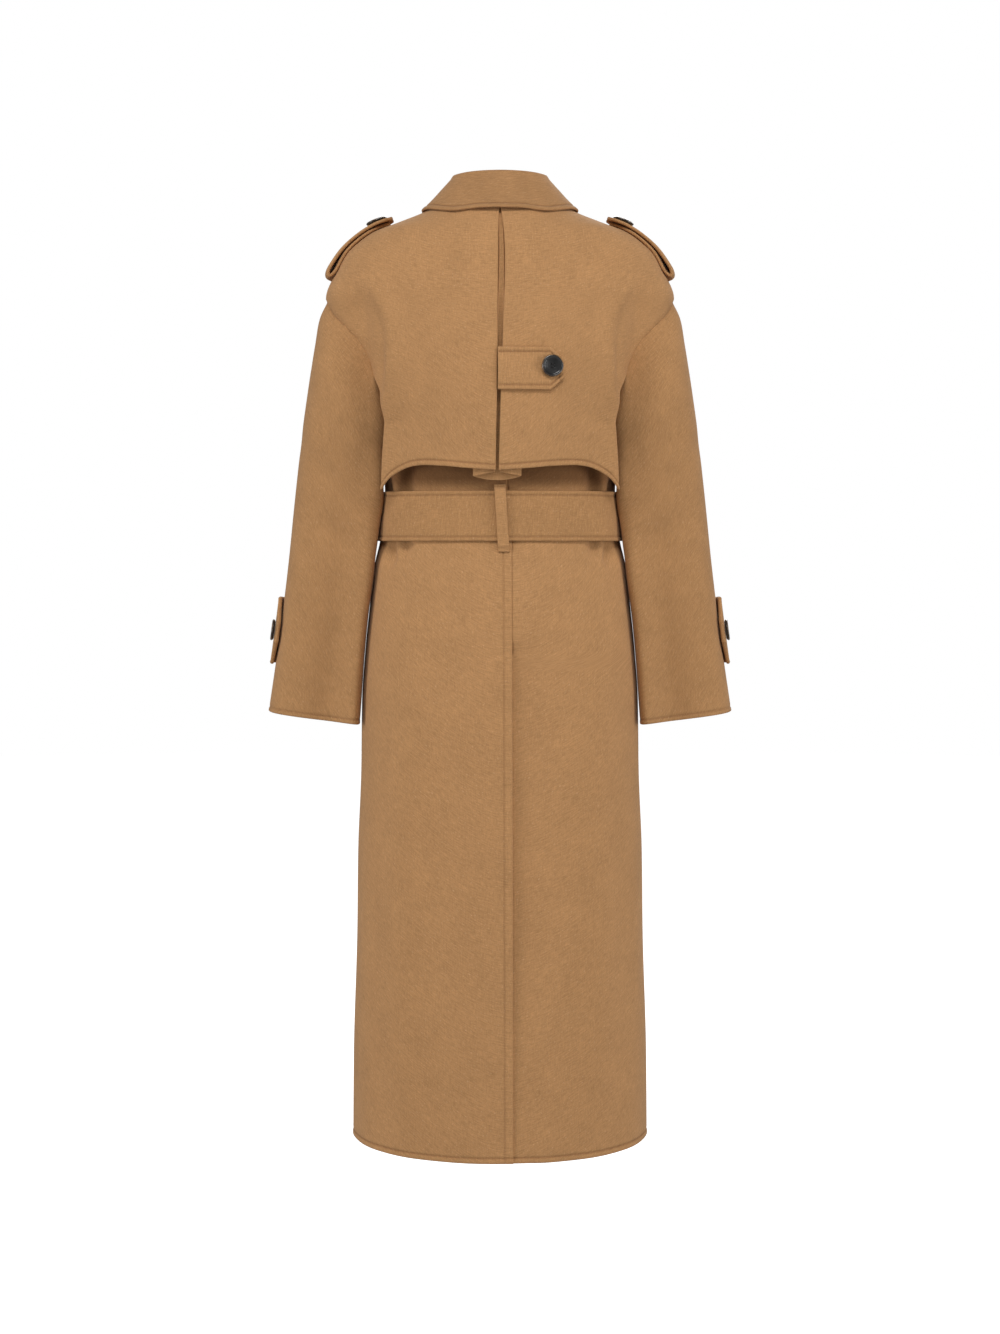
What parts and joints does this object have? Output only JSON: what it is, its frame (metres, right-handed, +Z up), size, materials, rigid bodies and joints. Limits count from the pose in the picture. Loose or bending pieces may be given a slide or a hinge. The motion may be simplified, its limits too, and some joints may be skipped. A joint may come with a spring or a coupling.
{
  "type": "belted trench coat",
  "caption": "Long camel wool trench coat, empty and worn-shaped, with a storm flap, shoulder tabs, cuff tabs and a buckled belt",
  "frame": {"origin": "centre of the neck at the height where the collar is sewn on, where the wearer's neck and shoulders hold the coat", "axes": "+Z is up, +X is the wearer's right, +Y is the front of the coat and -Y its back"},
  "size_m": [0.592, 0.2802, 1.2182],
  "materials": {
    "coat_wool": "napped double-faced camel wool",
    "belt_wool": "napped double-faced camel wool, a little darker",
    "horn": "polished dark horn-like resin"
  },
  "bodies": {
    "root": {"back_left": "coat_wool", "back_right": "coat_wool", "front_left": "coat_wool", "front_right": "coat_wool", "lapel_left": "coat_wool", "lapel_right": "coat_wool", "sleeve_left": "coat_wool", "sleeve_right": "coat_wool", "collar": "coat_wool", "storm_flap_left": "coat_wool", "storm_flap_right": "coat_wool", "storm_flap_pleat": "coat_wool", "flap_tab": "coat_wool", "epaulette_left": "coat_wool", "epaulette_right": "coat_wool", "cuff_tab_left": "coat_wool", "cuff_tab_right": "coat_wool", "belt_loop": "coat_wool", "belt": "belt_wool", "buckle": "horn", "flap_tab_button": "horn", "epaulette_button_left": "horn", "epaulette_button_right": "horn", "cuff_button_left": "horn", "cuff_button_right": "horn", "front_button_left_1": "horn", "front_button_left_2": "horn", "front_button_left_3": "horn", "front_button_right_1": "horn", "front_button_right_2": "horn", "front_button_right_3": "horn"}
  },
  "joints": []
}
